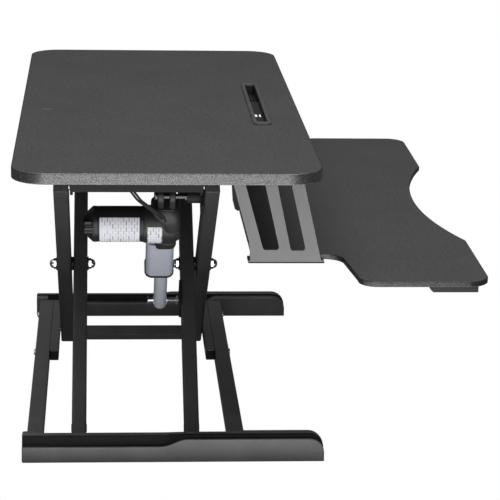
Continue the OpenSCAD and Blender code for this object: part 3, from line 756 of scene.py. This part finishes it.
pads = Solid()
for sx in (-1, 1):
    for y in (13.0, FOOT_L - 13.0):
        pads.lathe(
            [(0.5, 0.0), (9.6, 0.0), (10.8, 0.5), (11.0, 1.0), (11.0, 1.6), (0.5, 1.6)],
            (sx * (FOOT_OUT - MID), FOOT_BACK - y, 0),
            "z",
            40,
        )
        for r in (3.5, 6.0, 8.5):
            pads.lathe(
                [(r - 0.5, 0.12), (r - 0.4, 0.02), (r + 0.4, 0.02), (r + 0.5, 0.12)],
                (sx * (FOOT_OUT - MID), FOOT_BACK - y, 0),
                "z",
                32,
            )
make("pad_discs", pads, [RUBBER], "base", ["foot_pads"])


# ---------- legs ----------


def leg(name, node, place, side, face, body, tips, hollow):
    """A rounded tube whose first end slopes; tips are its reach at both edges."""
    y = FRAME_Y + side * (face - LEG_W / 2)
    shape = Solid(place)

    def ring(s, w, h, r, slope=0.0):
        out = []
        for u, v in rounded(w, h, r, 5):
            t = 0.5 + v / LEG_H
            out.append((s - slope * mix(tips[0], tips[1], t), y + u, v))
        return out

    far = LEG_LEN + 8.0
    rings = [
        ring(0, LEG_W - 1.0, LEG_H - 1.0, 2.2, 1),
        ring(0.5, LEG_W, LEG_H, 2.6, 1),
        ring(far - 0.5, LEG_W, LEG_H, 2.6),
        ring(far, LEG_W - 1.0, LEG_H - 1.0, 2.2),
    ]
    if hollow:
        rings = [
            ring(24.0, LEG_W - 3.0, LEG_H - 3.0, 1.4),
            ring(0.4, LEG_W - 3.0, LEG_H - 3.0, 1.4, 1),
            ring(0.1, LEG_W - 2.4, LEG_H - 2.4, 1.6, 1),
        ] + rings
    shape.loft(rings)
    shape.loft(
        [
            ring(far - 0.4, LEG_W - 1.6, LEG_H - 1.6, 2.0),
            ring(far + 1.0, LEG_W - 1.8, LEG_H - 1.8, 2.0),
            ring(far + 1.5, LEG_W - 3.2, LEG_H - 3.2, 1.6),
        ],
        1,
    )
    # The outer legs' upper end faces take the third material, the light grey painted light.
    if not hollow:
        shape.loft(
            [
                ring(0.4, LEG_W - 1.0, LEG_H - 1.0, 2.2, 1),
                ring(-0.3, LEG_W - 1.4, LEG_H - 1.4, 2.0, 1),
            ],
            2,
        )
    # The inner legs take the lighter copy of the leg paint, painted light; the outer legs take the plain
    # leg paint.
    coat = INNER_LEG_LIT if hollow else LEG_PAINT
    make(name, shape, [coat, BLACK, LEG_END_LIGHT], body, [node])


INNER_TIPS = (2.0, 22.0)
OUTER_TIPS = (24.0, 8.0)
for side, where in ((1, "rear"), (-1, "front")):
    inner, outer = "inner_leg_" + where, "outer_leg_" + where
    leg("inner_tube_" + where, inner, inner_leg, side, INNER_FACE, "inner_legs", INNER_TIPS, True)
    leg("outer_tube_" + where, outer, outer_leg, side, OUTER_FACE, "outer_legs", OUTER_TIPS, False)


# ---------- turned parts ----------


def turned(solid, profile, x, y, z, side=1, n=48, slot=0, turn=0.0):
    """A turned part along Y: profile of (radius, distance), side mirrors it."""
    solid.lathe([(r, side * d) for r, d in profile], (x, y, z), "y", n, slot, turn)


HEX_TURN = 0.3


def hexagon(solid, r, depth, x, y, z, side=1):
    """A hexagon head with a chamfered face."""
    turned(solid, [(r * 0.99, 0), (r, 0.2), (r, depth - 1.0)], x, y, z, side, 6, 0, HEX_TURN)
    turned(
        solid,
        [(r * 0.93, depth - 1.01), (r * 0.86, depth - 0.25), (r * 0.8, depth)],
        x, y, z, side, 36,
    )


DOME = [(0.1, 0), (6.4, 0), (6.7, 0.6), (6.7, 1.6)]
for a in range(9, 88, 9):
    DOME.append((6.7 * math.cos(math.radians(a)), 1.6 + 5.6 * math.sin(math.radians(a))))
DOME += [(0.1, 7.2)]

WASHER = [(4.9, 0.1), (9.5, 0.1), (10, 0.5), (10, 1.6), (9.5, 1.95), (4.9, 1.95)]

nuts = Solid()
bolts = Solid()
rings = Solid()
for side in (1, -1):
    centre = FRAME_Y
    for face, out in ((OUTER_FACE, side), (INNER_FACE - LEG_W, -side)):
        y = centre + side * face
        turned(nuts, [(0.2, 0), (8.2, 0), (8.2, 0.4)], MID_X, y + out * 2.0, MID_Z, out, 36)
        hexagon(nuts, 8.0, 4.4, MID_X, y + out * 2.1, MID_Z, out)
        turned(nuts, DOME, MID_X, y + out * 4.6, MID_Z, out, 36)
        turned(rings, WASHER, MID_X, y, MID_Z, out)
    gap = (INNER_FACE, OUTER_FACE - LEG_W)
    turned(
        rings,
        [(4.9, gap[0] + 0.1), (9.6, gap[0] + 0.1), (10, gap[0] + 0.5), (10, gap[1] - 0.5)]
        + [(9.6, gap[1] - 0.1), (4.9, gap[1] - 0.1)],
        MID_X, centre, MID_Z, side,
    )
    turned(bolts, [(0.2, 62), (5, 62), (5, 116), (0.2, 116)], MID_X, centre, MID_Z, side, 32)
make("dome_nuts", nuts, [CHROME], "inner_legs", ["mid_pivot_nuts"])
make("middle_bolts", bolts, [ZINC], "inner_legs", ["mid_pivot_bolts"])
make("middle_washers", rings, [BLACK], "inner_legs", ["pivot_washers"])


# ---------- actuator ----------

MOTOR_X = 61.0
MOTOR_R = 25.0
GEAR_R = 26.6
motor = Solid(actuator)
can = [(0.5, 26.6), (24.6, 26.6), (25.2, 27.2), (25.2, 30), (24.7, 30.6), (24.7, 31.4), (25, 32)]
can += [(25, 88), (24.6, 88.6), (24.6, 89.6), (25, 90.2), (25.1, 94.6), (24.6, 95.2), (0.5, 95.2)]
motor.lathe(can, (MOTOR_X, 0, 0), "y", 64)
make("motor_can", motor, [MOTOR], "actuator", ["motor_housing"], 30)

cap = Solid(actuator)
cap.lathe(
    [(0.5, 95.0), (24.9, 95.0), (25, 96.2), (24.2, 97.2), (13.6, 108.4), (12.6, 109.4), (0.5, 109.4)],
    (MOTOR_X, 0, 0),
    "y",
    16,
    turn=0.2,
)
cap.lathe([(0.5, 108.5), (9.0, 108.5), (9.4, 109.0), (9.4, 109.4), (0.5, 109.5)], (MOTOR_X, 0, 0), "y", 40)


def tilted(x, y, z):
    """A point about the motor's axis with z up and x level, in millimetres."""
    mx, _, mz = actuator(MOTOR_X, 0, 0)
    return mx + x, y, mz + z


boss = Solid(tilted)
for z0, z1, depth in ((-7.5, -4.4, 23.6), (-3.6, 1.0, 24.6), (1.6, 3.6, 23.4), (4.2, 8.6, 22.0)):
    boss.slab(
        rounded(depth - 6, 13.0, 1.4, 3, -(depth + 6) / 2, 102.0), z0, z1, 0.7
    )
make("motor_end", cap, [MOTOR], "actuator", ["motor_end_cap"], 12)
make("motor_end_ridges", boss, [CAST], "actuator", ())


def across(u, v, d):
    """Slab coordinates with the outline across the actuator and depth along it."""
    return d, v, u


gear = Solid(actuator)
gear.lathe(
    [(0.5, -23.8), (19.0, -23.8), (21.5, -23.0), (25.2, -16.5), (26.2, -13.5), (GEAR_R, -9.0)]
    + [(GEAR_R, 22.0), (26.3, 25.5), (25.4, 26.9), (0.5, 26.9)],
    (MOTOR_X, 0, 0),
    "y",
    64,
)

NECK = [(15.2, 22, 30, 9, -2.5), (16.4, 29, 35, 11, -2.5), (20, 37, 39.5, 12, -2.5)]
NECK += [(27, 44, 37, 12, -5.5), (36, 48, 28, 11, -10), (50, 51, 24, 10, -12)]
neck = []
for d, tall, wide, r, middle in NECK:
    neck.append([across(u, v, d) for u, v in rounded(tall, wide, r, 8, 0, middle)])
gear.loft(neck)
gear.slab(rounded(40, 31, 9, 6, -0.2, -3.2), 60, 94.5, 2.0, lift=across)
gear.slab(rounded(42, 26, 9, 6, -0.2, -6.0), 80, 92.0, 1.6, lift=across)
gear.lathe([(0.3, -24.0), (3.4, -24.0), (3.4, -21)], (MOTOR_X - 12, 0, -12), "y", 24)
make("gearbox_casting", gear, [CAST], "actuator", ["gearbox_housing"], 34)


def along_y(u, v, d):
    """Slab coordinates with the outline in the actuator's plane and depth along Y."""
    return u, d, v


EAR_Y = -4.0
ears = Solid(actuator)
for low in (-12.0, 4.0):
    outline = arc(0, 0, 10.9, 90, 270, 16) + [(15.6, -10.9), (17.6, -12.4), (17.6, 12.4), (15.6, 10.9)]
    ears.slab(outline, EAR_Y + low, EAR_Y + low + 8, 1.1, lift=along_y)
    ears.lathe(
        [(4.3, EAR_Y + low - 0.25), (7.0, EAR_Y + low - 0.25)]
        + [(7.4, EAR_Y + low + 8.25), (4.3, EAR_Y + low + 8.25)],
        (0, 0, 0),
        "y",
        36,
    )
ears.slab(rounded(27, 24, 3, 4, 0, EAR_Y), 13.6, 16.6, 0.9, lift=across)
web = [(-6.0, 10.9), (-6.0, 5.6), (17.0, 5.6), (17.0, 10.9)]
ears.slab(web, EAR_Y - 13.5, EAR_Y + 17.0, 0.8, lift=along_y)
make("clevis_ears", ears, [CAST], "actuator", ["rear_clevis"], 34)

MID_SHROUD = 3.0
cover = Solid(actuator)
cover.slab(rounded(36, 39, 9.5, 10, 0, MID_SHROUD), 88.4, 159.6, 0.8, lift=across)
make("rod_cover", cover, [SHROUD], "actuator", ["actuator_shroud"], 40)

rim = Solid(actuator)
rim.slab(rounded(38.4, 41.6, 11, 10, 0, MID_SHROUD + 0.2), 158.6, 163.0, 1.3, lift=across)
rim.lathe([(9.6, 0), (12.4, 0), (12.0, 1.4), (9.6, 1.4)], (162.6, 0, 0), "x", 48)
make("cover_rim", rim, [BLACK], "actuator", ["shroud_rim"], 40)

ROD_LOW, ROD_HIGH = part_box("rod_pin")
ROD_X = (ROD_LOW.x + ROD_HIGH.x) / 2 / MM
ROD_Z = (ROD_LOW.z + ROD_HIGH.z) / 2 / MM
ROD_LEN = math.hypot(ROD_X - REAR_X, ROD_Z - REAR_Z)
ROD_TIP = ROD_LEN + 9.5
rod = Solid(actuator)
rod.lathe(
    [(0.4, 124), (9.2, 124), (9.5, 124.4), (9.5, ROD_TIP - 1.2), (9.1, ROD_TIP - 0.3), (8.4, ROD_TIP)]
    + [(7.4, ROD_TIP), (7.2, ROD_TIP - 2.5), (0.4, ROD_TIP - 2.5)],
    (0, 0, 0),
    "x",
    64,
)
for flat in (-1, 1):
    rod.lathe(
        [(4.0, flat * 8.4), (6.2, flat * 8.4), (6.4, flat * 9.9), (4.0, flat * 10.0)],
        (ROD_LEN, 0, 0),
        "y",
        40,
    )
make("push_rod", rod, [ROD_PAINT], "rod", ["actuator_rod"], 40)

PLATE_Y = FRAME_Y - INNER_FACE + LEG_W + 3
pin = Solid()
pin_profile = [(0.3, PLATE_Y + 0.5), (3.6, PLATE_Y + 0.5), (4.0, PLATE_Y + 1.0)]
for i in range(16):
    y = PLATE_Y + 2 + i * 1.0
    pin_profile += [(4.0, y), (3.6, y + 0.5)]
pin_profile += [(4.0, -10.5), (4.0, 16.2), (0.3, 16.2)]
turned(pin, pin_profile, ROD_X, 0, ROD_Z, 1, 32)
turned(pin, [(0.3, 16), (5.7, 16), (6.0, 16.4), (6.0, 17.6), (5.2, 18.4), (0.3, 18.5)], ROD_X, 0, ROD_Z)
turned(pin, [(0.3, PLATE_Y + 1.5), (6.5, PLATE_Y + 1.5), (6.5, PLATE_Y + 4)], ROD_X, 0, ROD_Z, 1, 6)
make("rod_pin_turned", pin, [ZINC], "rod", ["rod_pin"])

GUSSET_Y = FRAME_Y - OUTER_FACE + LEG_W
pivot = Solid()
shank = [(0.3, GUSSET_Y - 4), (4.0, GUSSET_Y - 4), (4.0, EAR_Y + 14), (0.3, EAR_Y + 14)]
turned(pivot, shank, REAR_X, 0, REAR_Z, 1, 36)
flange = [(0.3, EAR_Y + 12.1), (5.6, EAR_Y + 12.1), (6.0, EAR_Y + 12.6), (6.0, EAR_Y + 15)]
turned(pivot, flange, REAR_X, 0, REAR_Z)
hexagon(pivot, 6.0, 2.6, REAR_X, EAR_Y + 14.4, REAR_Z)
collar = [(0.3, GUSSET_Y + 22.1), (6.2, GUSSET_Y + 22.1), (6.5, GUSSET_Y + 22.5), (6.5, GUSSET_Y + 25)]
turned(pivot, collar, REAR_X, 0, REAR_Z)
make("rear_pin_turned", pivot, [BLACKED], "outer_legs", ["actuator_rear_pin"])


def wrap(name, radius, y_range, angles, material):
    """A thin label curved round the motor's axis; angles from level, upwards."""
    shape = Solid(tilted)
    n = 20
    bands = []
    for dy in (0.0, 1.0):
        y = mix(y_range[0], y_range[1], dy)
        ring = []
        for r in (radius, radius + 0.25):
            steps = range(n + 1) if r == radius else range(n, -1, -1)
            for k in steps:
                t = math.radians(mix(angles[0], angles[1], k / n))
                ring.append((-r * math.cos(t), y, r * math.sin(t)))
        bands.append(ring)
    shape.loft(bands)
    make(name, shape, [material], "actuator", (), 50)


wrap("motor_label", MOTOR_R + 0.05, (32.5, 87.5), (-78, 34), LABEL)
wrap("gearbox_label", GEAR_R + 0.1, (1.5, 21.5), (-76, 4), LABEL)

CABLE = [(-262, 49, 368), (-262, 44, 361), (-261, 37.5, 352), (-259, 31, 343.5), (-257.5, 22, 336)]
CABLE += [(-257, 8.6, 326), (-252, 1, 318), (-246, -4, 311.8), (-243, -6, 309.5)]


PER_SPAN = 5


def curve(points):
    """A smooth path through points."""
    out = []
    n = len(points)
    for i in range(n - 1):
        p = [Vector(points[max(0, min(n - 1, i + k))]) for k in (-1, 0, 1, 2)]
        for j in range(PER_SPAN):
            t = j / PER_SPAN
            out.append(
                tuple(
                    0.5
                    * (
                        2 * p[1]
                        + (p[2] - p[0]) * t
                        + (2 * p[0] - 5 * p[1] + 4 * p[2] - p[3]) * t * t
                        + (3 * p[1] - p[0] - 3 * p[2] + p[3]) * t**3
                    )
                )
            )
    out.append(tuple(points[-1]))
    return out


wires = Solid()
for shift in (0.0, 4.5):
    wires.sweep([(x, y + shift, z) for x, y, z in curve(CABLE)], 1.6, 12)
wires.sweep([(-247.5, -1.5, 313.6), (-246, -2.5, 312), (-243.5, -4, 309.8)], 3.2, 16)
make("motor_lead", wires, [SHEATH], "actuator", ["motor_cable"])


# ---------- rollers ----------


def roller(name, node, z, body):
    low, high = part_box(node)
    y0, y1 = (low.y - BOARD_Y) / MM, (high.y - BOARD_Y) / MM
    shape = Solid()
    w = y1 - y0
    profile = [(4.06, y0), (5.1, y0), (5.7, y0 + 0.6), (5.7, y0 + w * 0.35), (5.4, y0 + w * 0.4)]
    profile += [(5.4, y0 + w * 0.6), (5.7, y0 + w * 0.65), (5.7, y1 - 0.6), (5.1, y1), (4.06, y1)]
    turned(shape, profile, ROLLER_X, 0, z)
    make(name, shape, [BLACK], body, [node], 30)


roller("roller_base_rear", "base_roller_rear", LOW_Z, "base_roller_rear")
roller("roller_base_front", "base_roller_front", LOW_Z, "base_roller_front")
roller("roller_top_rear", "top_roller_rear", HIGH_Z, "top_roller_rear")
roller("roller_top_front", "top_roller_front", HIGH_Z, "top_roller_front")


# ---------- refined CAD shapes ----------

for node, width, coat in (
    ("base_rail_rear", 1.2, RAIL_PAINT),
    ("base_rail_front", 1.2, RAIL_PAINT),
    ("base_channel_rear", 0.6, RAIL_PAINT),
    ("base_channel_front", 0.6, RAIL_PAINT),
    ("top_rails", 1.0, PAINT),
    ("inner_crossbar", 1.0, PAINT),
    ("lower_crossbar", 1.0, RAIL_PAINT),
    ("top_channel_rear", 0.6, PAINT),
    ("top_channel_front", 0.6, PAINT),
    ("top_crossmember_left", 0.8, PAINT),
    ("top_crossmember_right", 0.8, PAINT),
    ("base_pivot_brackets", 0.6, LEG_PAINT),
    ("actuator_bracket", 0.8, PAINT),
    ("rod_bracket", 0.7, PAINT),
):
    refine(node, [coat], width)
for node in ("tray_bracket_left", "tray_bracket_right"):
    refine(node, [BRACKET, PAINT], 0.5, pick=lambda f: f.calc_center_median().z < (TRAY_LOW - 0.2) * MM)
refine("channel_plugs", [GLOSS], 2.0, 4)
for node in ("control_box", "control_panel"):
    refine(node, [BLACK], 0.8)
refine("power_inlet", [BLACK], 0.3)
for node in ("top_pivot_bolts", "top_roller_axles", "base_roller_axles"):
    refine(node, [ZINC], 0.5)
refine("base_pivot_pins", [PAINT], 0.25)


# ---------- trims beside the tray brackets ----------

BRACKET_OUT = 308.0
for side, label in ((-1, "left"), (1, "right")):
    trim = Solid(lambda x, y, z, s=side: (s * x, y, z))
    strip = [(-81.4, 407.5), (-84.2, 407.5), (-114.2, 299.0), (-111.4, 298.0)]
    trim.slab(
        strip, BRACKET_OUT - 9.0, BRACKET_OUT - 0.6, 0.4, lift=lambda u, v, d: (d, u, v), steps=2
    )
    tab = [(-79.5, 407.5), (-88.0, 407.5), (-106.0, 344.0), (-104.5, 340.0), (-97.5, 338.8)]
    tab += [(-94.2, 341.6), (-91.2, 353.0), (-89.6, 376.0)]
    trim.slab(
        tab, BRACKET_OUT - 14.0, BRACKET_OUT - 9.5, 0.6, lift=lambda u, v, d: (d, u, v), steps=2
    )
    trim.slab(
        rounded(BRACKET_OUT - 282.0, 103.6, 1.5, 3, (BRACKET_OUT + 282.2) / 2, -164.8),
        TRAY_LOW - 3.6, TRAY_LOW - 1.6, 0.3, steps=2,
    )
    make("bracket_trim_" + label, trim, [PAINT], "top", (), 40)


# ---------- inner parts and screws ----------

for node in ("motor_armature", "lead_screw"):
    refine(node, [ZINC], 0.3)
refine("drive_nut", [BRASS], 0.3)
for node in ("tray_screws", "worktop_screws", "rail_bolts"):
    refine(node, [ZINC], 0.4)


# ---------- hand control ----------

for name, direction in (("button_up", 1), ("button_down", -1)):
    low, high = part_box(name)
    cx, cz = (low.x + high.x) / 2 / MM, (low.z + high.z) / 2 / MM
    front = (low.y - BOARD_Y) / MM
    cap = Solid()
    turned(
        cap,
        [(0.2, front + 0.25), (1.9, front + 0.1), (2.5, front + 0.3), (2.8, front + 0.8)]
        + [(2.8, front + 4.8), (3.6, front + 4.9), (3.6, front + 6), (0.2, front + 6)],
        cx, 0, cz, 1, 36,
    )
    mark = Solid()
    points = [(-1.1, -0.6 * direction), (1.1, -0.6 * direction), (0, 1.0 * direction)]
    if direction < 0:
        points.reverse()
    mark.slab(
        points, front, front + 0.5, 0.04, lift=lambda u, v, d, x=cx, z=cz: (x + u, d, z + v), steps=1
    )
    make(name + "_cap", cap, [BUTTON], name, [name], 30)
    make(name + "_mark", mark, [BLACK], name, (), 30)


# ---------- studio ----------

FORWARD = Vector((0.96233766, -0.06817604, -0.26316963))
RIGHT = Vector((-0.0655707, -0.99767305, 0.01868089))
DOWN = Vector((-0.26383084, -0.00072111, -0.9645687))
camera_data = bpy.data.cameras.new("camera")
LENS_MM = 153.7376
SENSOR_MM = 36.0
CAMERA_PLACE = (-3.07744, 0.192076, 1.044361)
camera_data.lens = LENS_MM
camera_data.sensor_width = SENSOR_MM
camera_data.clip_end = 50.0
camera = bpy.data.objects.new("camera", camera_data)
bpy.context.scene.collection.objects.link(camera)
basis = Matrix((RIGHT, -DOWN, -FORWARD)).transposed().to_4x4()
camera.matrix_world = Matrix.Translation(CAMERA_PLACE) @ basis
bpy.context.scene.camera = camera

FLOOR_WHITE = 1.0
FLOOR_GRAY = 0.10
CARD_POWER = 2.6
CARD_EDGES = (("X", -2.8, -0.42, 0.05), ("Y", -0.45, 0.75, 0.12))

world = bpy.data.worlds.new("studio")
world.use_nodes = True
bpy.context.scene.world = world
tree = world.node_tree
back = tree.nodes["Background"]
coords = tree.nodes.new("ShaderNodeTexCoord")
split = tree.nodes.new("ShaderNodeSeparateXYZ")
tree.links.new(coords.outputs["Generated"], split.inputs[0])
sky = tree.nodes.new("ShaderNodeValToRGB")
tree.links.new(split.outputs["Z"], sky.inputs["Fac"])
marks = sky.color_ramp.elements
marks[0].position, marks[0].color = 0.10, (0.02, 0.02, 0.02, 1.0)
marks[1].position, marks[1].color = 0.85, (0.42, 0.42, 0.425, 1.0)
seen = tree.nodes.new("ShaderNodeBackground")
seen.inputs["Color"].default_value = (1.0, 1.0, 1.0, 1.0)
path = tree.nodes.new("ShaderNodeLightPath")
pick = tree.nodes.new("ShaderNodeMixShader")
tree.links.new(sky.outputs["Color"], back.inputs["Color"])
tree.links.new(path.outputs["Is Camera Ray"], pick.inputs[0])
tree.links.new(back.outputs[0], pick.inputs[1])
tree.links.new(seen.outputs[0], pick.inputs[2])
tree.links.new(pick.outputs[0], tree.nodes["World Output"].inputs["Surface"])


def floor_material():
    """White to the camera; to the object, a bright card in front on dark gray."""
    g = Graph("pale_floor")
    base = g.ramp(g.noise(400, 2.0, 0.5), [(0.3, 0.86), (0.7, 0.88)])
    out = next(n for n in g.tree.nodes if n.type == "OUTPUT_MATERIAL")
    white = g.add("ShaderNodeEmission")
    white.inputs["Strength"].default_value = FLOOR_WHITE
    card = g.add("ShaderNodeEmission")
    parts = g.add("ShaderNodeSeparateXYZ")
    g.link(g.coords, parts.inputs[0])
    strength = None
    for axis, low, high, soft in CARD_EDGES:
        for limit, sign in ((low, 1.0), (high, -1.0)):
            edge = g.add("ShaderNodeMapRange", interpolation_type="SMOOTHSTEP")
            g.link(parts.outputs[axis], edge.inputs["Value"])
            edge.inputs["From Min"].default_value = limit - sign * soft
            edge.inputs["From Max"].default_value = limit + sign * soft
            if strength is None:
                strength = edge.outputs["Result"]
            else:
                times = g.add("ShaderNodeMath", operation="MULTIPLY")
                g.link(strength, times.inputs[0])
                g.link(edge.outputs["Result"], times.inputs[1])
                strength = times.outputs[0]
    scale = g.add("ShaderNodeMath", operation="MULTIPLY_ADD")
    g.link(strength, scale.inputs[0])
    scale.inputs[1].default_value = CARD_POWER
    scale.inputs[2].default_value = FLOOR_GRAY
    g.link(scale.outputs[0], card.inputs["Strength"])
    g.link(base, card.inputs["Color"])
    path = g.add("ShaderNodeLightPath")
    pick = g.add("ShaderNodeMixShader")
    g.link(path.outputs["Is Camera Ray"], pick.inputs[0])
    g.link(card.outputs[0], pick.inputs[1])
    g.link(white.outputs[0], pick.inputs[2])
    g.link(pick.outputs[0], out.inputs["Surface"])
    return g.mat


floor_mesh = bpy.data.meshes.new("floor")
FLOOR_HALF = 30.0
corners = [(sx * FLOOR_HALF, sy * FLOOR_HALF, 0) for sx, sy in ((-1, -1), (1, -1), (1, 1), (-1, 1))]
floor_mesh.from_pydata(corners, [], [(0, 1, 2, 3)])
floor_mesh.materials.append(floor_material())
floor = bpy.data.objects.new("floor", floor_mesh)
bpy.context.scene.collection.objects.link(floor)


def area_light(name, place, target, w, h, power):
    data = bpy.data.lights.new(name, "AREA")
    data.shape = "RECTANGLE"
    data.size, data.size_y = w, h
    data.energy = power
    light = bpy.data.objects.new(name, data)
    light.location = place
    aim = Vector(target) - Vector(place)
    light.rotation_euler = aim.to_track_quat("-Z", "Y").to_euler()
    bpy.context.scene.collection.objects.link(light)


area_light("front_panel", (-3.2, 0.15, 0.75), (0, 0.1, 0.2), 1.2, 1.2, 16)
area_light("top_panel", (-0.2, 0.0, 2.6), (0, 0, 0.3), 2.4, 1.8, 16)
area_light("top_strip", (-0.85, 0.1, 2.3), (-0.3, 0.1, 0.2), 1.7, 0.25, 12)

bpy.context.scene.view_settings.view_transform = "Standard"
